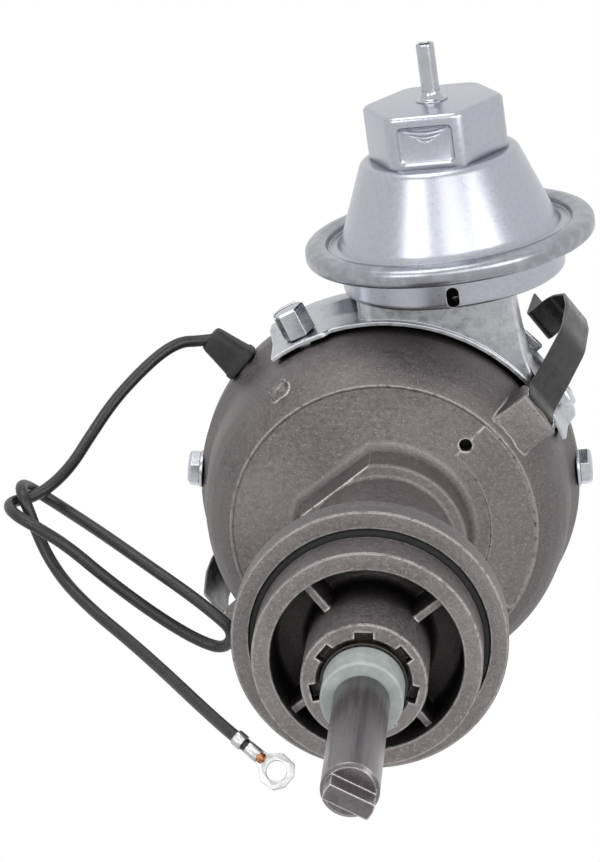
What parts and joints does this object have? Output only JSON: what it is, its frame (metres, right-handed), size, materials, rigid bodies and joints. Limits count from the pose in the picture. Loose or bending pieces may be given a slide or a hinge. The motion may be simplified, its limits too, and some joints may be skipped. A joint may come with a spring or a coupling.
{
  "type": "ignition distributor",
  "caption": "Engine ignition distributor: cast bowl and neck with flange, tanged drive shaft, breaker points, vacuum unit, cap clips and a coil lead with a ring terminal.",
  "frame": {"origin": "on the drive shaft's axis, in the plane of the mounting flange's lower face", "axes": "+Z along the shaft from its tang to the open bowl, -Y towards the vacuum unit"},
  "size_m": [0.1536, 0.165, 0.2397],
  "materials": {
    "housing_iron": "as cast, blasted",
    "zinc_steel": "bright zinc plated",
    "screw_steel": "zinc plated",
    "dark_steel": "phosphated spring steel",
    "shaft_steel": "ground",
    "bronze": "sintered, oil filled",
    "nylon": "natural nylon",
    "black_rubber": "moulded",
    "wire_cover": "satin insulation",
    "phenolic": "moulded phenolic",
    "felt": "felt",
    "tinned": "tinned brass"
  },
  "bodies": {
    "housing_body": {"housing": "housing_iron", "lower_bushing": "bronze", "upper_bushing": "bronze", "pilot_seal_ring": "black_rubber", "hub_thrust_washer": "dark_steel", "top_thrust_washer": "dark_steel", "fixed_breaker_plate": "zinc_steel", "plate_bearing": "nylon", "plate_pads": "nylon", "plate_ring": "screw_steel", "plate_screws": "screw_steel", "plate_screw_washers": "screw_steel", "vacuum_bracket": "zinc_steel", "bracket_screws": "screw_steel", "can_lower_shell": "zinc_steel", "can_upper_shell": "zinc_steel", "can_hex_cap": "zinc_steel", "can_nipple": "zinc_steel", "diaphragm": "black_rubber", "vacuum_spring": "dark_steel", "clip_pins": "screw_steel", "grommet": "black_rubber", "lead_wire": "wire_cover", "lead_terminal": "tinned", "primary_lead": "wire_cover"},
    "shaft": {"drive_shaft": "shaft_steel", "shaft_collar": "nylon", "collar_pin": "screw_steel", "governor_plate": "dark_steel", "weight_pins": "screw_steel", "cam_ring": "screw_steel", "governor_springs": "dark_steel"},
    "weight_one": {"weight_one": "dark_steel"},
    "weight_two": {"weight_two": "dark_steel"},
    "cam": {"cam_yoke": "dark_steel", "cam_sleeve": "shaft_steel", "cam_wick": "felt"},
    "breaker_plate": {"moving_breaker_plate": "zinc_steel", "rod_pin": "screw_steel", "contact_base": "zinc_steel", "contact_support": "zinc_steel", "lock_screw": "screw_steel", "fixed_contact": "tinned", "pivot_post": "screw_steel", "contact_terminal": "phenolic", "terminal_screw": "screw_steel", "condenser": "zinc_steel", "condenser_strap": "zinc_steel", "condenser_screw": "screw_steel", "condenser_lead": "wire_cover", "breaker_spring": "dark_steel"},
    "breaker_arm": {"breaker_arm": "shaft_steel", "rubbing_block": "phenolic", "moving_contact": "tinned"},
    "vacuum_rod": {"vacuum_rod": "screw_steel", "diaphragm_cup": "dark_steel"},
    "cap_clip_one": {"cap_clip_one": "dark_steel"},
    "cap_clip_two": {"cap_clip_two": "dark_steel"}
  },
  "joints": [
    {"name": "shaft_spin", "type": "hinge", "parent": "housing_body", "child": "shaft", "pos_m": [0, 0, 0], "axis": [0, 0, 1], "continuous": true},
    {"name": "centrifugal_advance", "type": "hinge", "parent": "shaft", "child": "cam", "pos_m": [0, 0, 0.088], "axis": [0, 0, 1], "range_deg": [0, 12], "stiffness_Nm_per_rad": 0.05, "deforming": ["governor_springs"]},
    {"name": "weight_one_swing", "type": "hinge", "parent": "shaft", "child": "weight_one", "pos_m": [0, 0.023, 0.084], "axis": [0, 0, -1], "range_deg": [0, 10]},
    {"name": "weight_two_swing", "type": "hinge", "parent": "shaft", "child": "weight_two", "pos_m": [0, -0.023, 0.084], "axis": [0, 0, -1], "range_deg": [0, 10]},
    {"name": "vacuum_advance", "type": "hinge", "parent": "housing_body", "child": "breaker_plate", "pos_m": [0, 0, 0.1007], "axis": [0, 0, -1], "range_deg": [0, 10], "stiffness_Nm_per_rad": 0.3, "deforming": ["primary_lead"]},
    {"name": "rod_pull", "type": "slide", "parent": "housing_body", "child": "vacuum_rod", "axis": [0, -1, 0], "range_m": [0, 0.00405], "deforming": ["diaphragm", "vacuum_spring"]},
    {"name": "breaker_points", "type": "hinge", "parent": "breaker_plate", "child": "breaker_arm", "pos_m": [-0.01825, 0.017, 0.1064], "axis": [0, 0, -1], "range_deg": [-0.7, 5], "stiffness_Nm_per_rad": 0.05, "deforming": ["breaker_spring"]},
    {"name": "cap_clip_one_swing", "type": "hinge", "parent": "housing_body", "child": "cap_clip_one", "pos_m": [0.04127, -0.02529, 0.0756], "axis": [0.5225, 0.8526, 0], "range_deg": [0, 60]},
    {"name": "cap_clip_two_swing", "type": "hinge", "parent": "housing_body", "child": "cap_clip_two", "pos_m": [-0.04127, 0.02529, 0.0756], "axis": [-0.5225, -0.8526, 0], "range_deg": [0, 60]}
  ],
  "couplings": [
    {"joint": "weight_one_swing", "follows": "centrifugal_advance", "ratio": 0.83333},
    {"joint": "weight_two_swing", "follows": "centrifugal_advance", "ratio": 0.83333},
    {"joint": "rod_pull", "follows": "vacuum_advance", "m_per_rad": 0.023182}
  ]
}
